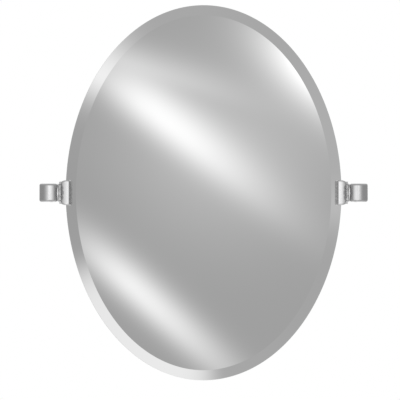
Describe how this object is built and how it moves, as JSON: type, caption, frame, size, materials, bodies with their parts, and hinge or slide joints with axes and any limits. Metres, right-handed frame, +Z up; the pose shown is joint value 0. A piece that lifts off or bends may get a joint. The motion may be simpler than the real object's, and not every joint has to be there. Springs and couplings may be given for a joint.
{
  "type": "pivot wall mirror",
  "caption": "Oval bevelled wall mirror that tilts on studs between two square chromed arms, with toothed tension wheels and gasketed edge clamps.",
  "frame": {"origin": "centre of the four wall screw holes, on the face of the wall", "axes": "+Y into the wall, +Z up, +X to the right of someone who looks into the mirror"},
  "size_m": [0.5766, 0.0795, 0.66],
  "materials": {
    "mirror_face": "silvered float glass with a polished bevel",
    "safety_film": "grey woven safety film",
    "arm_chrome": "polished chrome on die casting",
    "collar_chrome": "turned and polished chrome",
    "wheel_chrome": "turned chrome",
    "clamp_chrome": "polished chrome on die casting",
    "zinc_plate": "zinc plated steel",
    "black_screw": "black oxide",
    "stud_steel": "turned steel",
    "nylon": "natural nylon",
    "gasket_vinyl": "soft grey vinyl"
  },
  "bodies": {
    "wall_brackets": {"left_arm": "arm_chrome", "right_arm": "arm_chrome", "left_collar": "collar_chrome", "right_collar": "collar_chrome", "left_pivot_bush": "nylon", "right_pivot_bush": "nylon", "left_friction_washer": "nylon", "right_friction_washer": "nylon", "left_wall_plate": "zinc_plate", "right_wall_plate": "zinc_plate", "left_grub_screw": "black_screw", "right_grub_screw": "black_screw"},
    "mirror": {"mirror_glass": "mirror_face", "safety_backing": "safety_film", "left_clamp": "clamp_chrome", "right_clamp": "clamp_chrome", "left_gasket": "gasket_vinyl", "right_gasket": "gasket_vinyl", "left_pressure_plate": "zinc_plate", "right_pressure_plate": "zinc_plate", "left_clamp_screws": "black_screw", "right_clamp_screws": "black_screw", "left_pivot_stud": "stud_steel", "right_pivot_stud": "stud_steel", "left_flat_washer": "zinc_plate", "right_flat_washer": "zinc_plate", "left_spring_washer": "stud_steel", "right_spring_washer": "stud_steel", "left_lock_nut": "zinc_plate", "right_lock_nut": "zinc_plate"},
    "left_wheel": {"left_tension_wheel": "wheel_chrome"},
    "right_wheel": {"right_tension_wheel": "wheel_chrome"}
  },
  "joints": [
    {"name": "mirror_tilt", "type": "hinge", "parent": "wall_brackets", "child": "mirror", "pos_m": [0, -0.06, 0], "axis": [1, 0, 0], "range_deg": [-9.5, 9.5]},
    {"name": "left_wheel_turn", "type": "hinge", "parent": "mirror", "child": "left_wheel", "pos_m": [-0.2517, -0.06, 0], "axis": [-1, 0, 0], "range_deg": [-144, 86]},
    {"name": "right_wheel_turn", "type": "hinge", "parent": "mirror", "child": "right_wheel", "pos_m": [0.2517, -0.06, 0], "axis": [1, 0, 0], "range_deg": [-144, 86]}
  ]
}
